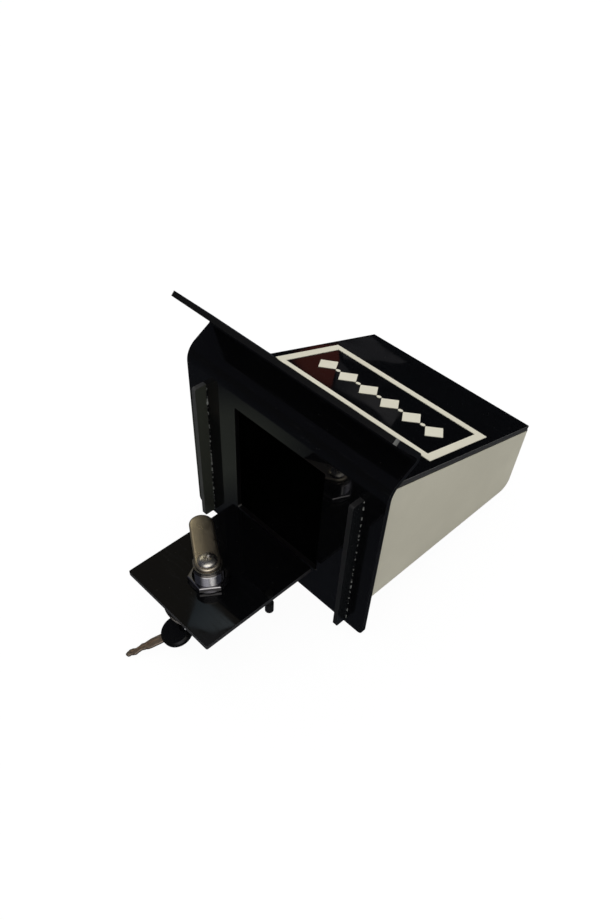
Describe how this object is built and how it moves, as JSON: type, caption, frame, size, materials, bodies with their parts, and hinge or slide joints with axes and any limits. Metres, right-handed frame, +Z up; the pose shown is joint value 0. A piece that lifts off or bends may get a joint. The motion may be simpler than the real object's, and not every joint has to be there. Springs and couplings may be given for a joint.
{
  "type": "donation box",
  "caption": "Small acrylic donation box with a sloping display face, a money slot and a hinged, key-locked emptying door in its base, lying with the door open.",
  "frame": {"origin": "centre of the bounding box's bottom face, on the table the box lies on", "axes": "+Z up from the table, +Y from the plate with the door back along the body, +X across the box to the right of a viewer facing the door"},
  "size_m": [0.15, 0.2708, 0.1587],
  "materials": {
    "black_acrylic": "polished black acrylic sheet",
    "cream_film": "satin cream vinyl film",
    "hinge_steel": "black lacquered steel",
    "pin_steel": "bright steel",
    "rivet_alu": "black finished rivet heads",
    "knob_black": "turned black knob",
    "screw_steel": "zinc plated steel",
    "lock_chrome": "chromed zinc casting",
    "nut_chrome": "chromed nut",
    "plug_zinc": "zinc casting",
    "wafer_brass": "stamped brass",
    "lever_steel": "satin zinc plated steel",
    "key_plastic": "moulded black plastic",
    "key_nickel": "worn nickel silver",
    "ring_steel": "nickel plated wire"
  },
  "bodies": {
    "box": {"mounting_plate": "black_acrylic", "right_rail": "black_acrylic", "left_rail": "black_acrylic", "right_side_panel": "black_acrylic", "left_side_panel": "black_acrylic", "right_side_skin": "cream_film", "left_side_skin": "cream_film", "face_panel": "black_acrylic", "back_sheet": "black_acrylic", "border_frame": "cream_film", "hinge_plate_leaf": "hinge_steel", "hinge_pin": "pin_steel", "hinge_plate_rivets": "rivet_alu"},
    "door": {"door_panel": "black_acrylic", "hinge_door_leaf": "hinge_steel", "hinge_door_rivets": "rivet_alu", "door_knob": "knob_black", "knob_screw": "screw_steel", "lock_housing": "lock_chrome", "lock_washer": "nut_chrome", "lock_nut": "nut_chrome"},
    "plug": {"lock_plug": "plug_zinc", "lock_wafers": "wafer_brass", "stop_washer": "screw_steel", "cam_lever": "lever_steel", "cam_screw": "screw_steel"},
    "lock_key": {"lock_key_bow": "key_plastic", "lock_key_blade": "key_nickel"},
    "ring": {"key_ring": "ring_steel"},
    "spare_key": {"spare_key_bow": "key_plastic", "spare_key_blade": "key_nickel"}
  },
  "joints": [
    {"name": "door_hinge", "type": "hinge", "parent": "box", "child": "door", "pos_m": [0, -0.02872, 0.02442], "axis": [1, 0, 0], "range_deg": [-90, 90]},
    {"name": "lock_turn", "type": "hinge", "parent": "door", "child": "plug", "pos_m": [0, -0.07775, 0.02857], "axis": [0, 0.0813, 0.9967], "range_deg": [0, 90]},
    {"name": "key_pull", "type": "slide", "parent": "plug", "child": "lock_key", "axis": [0, -0.0813, -0.9967], "range_m": [0, 0.02]},
    {"name": "ring_swing", "type": "hinge", "parent": "lock_key", "child": "ring", "pos_m": [0, -0.07968, 0.00484], "axis": [-0.8434, 0.5355, -0.0437], "range_deg": [-20, 25]},
    {"name": "spare_swing", "type": "hinge", "parent": "ring", "child": "spare_key", "pos_m": [0.00395, -0.09954, 0.01226], "axis": [-0.6007, -0.6848, 0.4127], "range_deg": [-15, 15]}
  ]
}
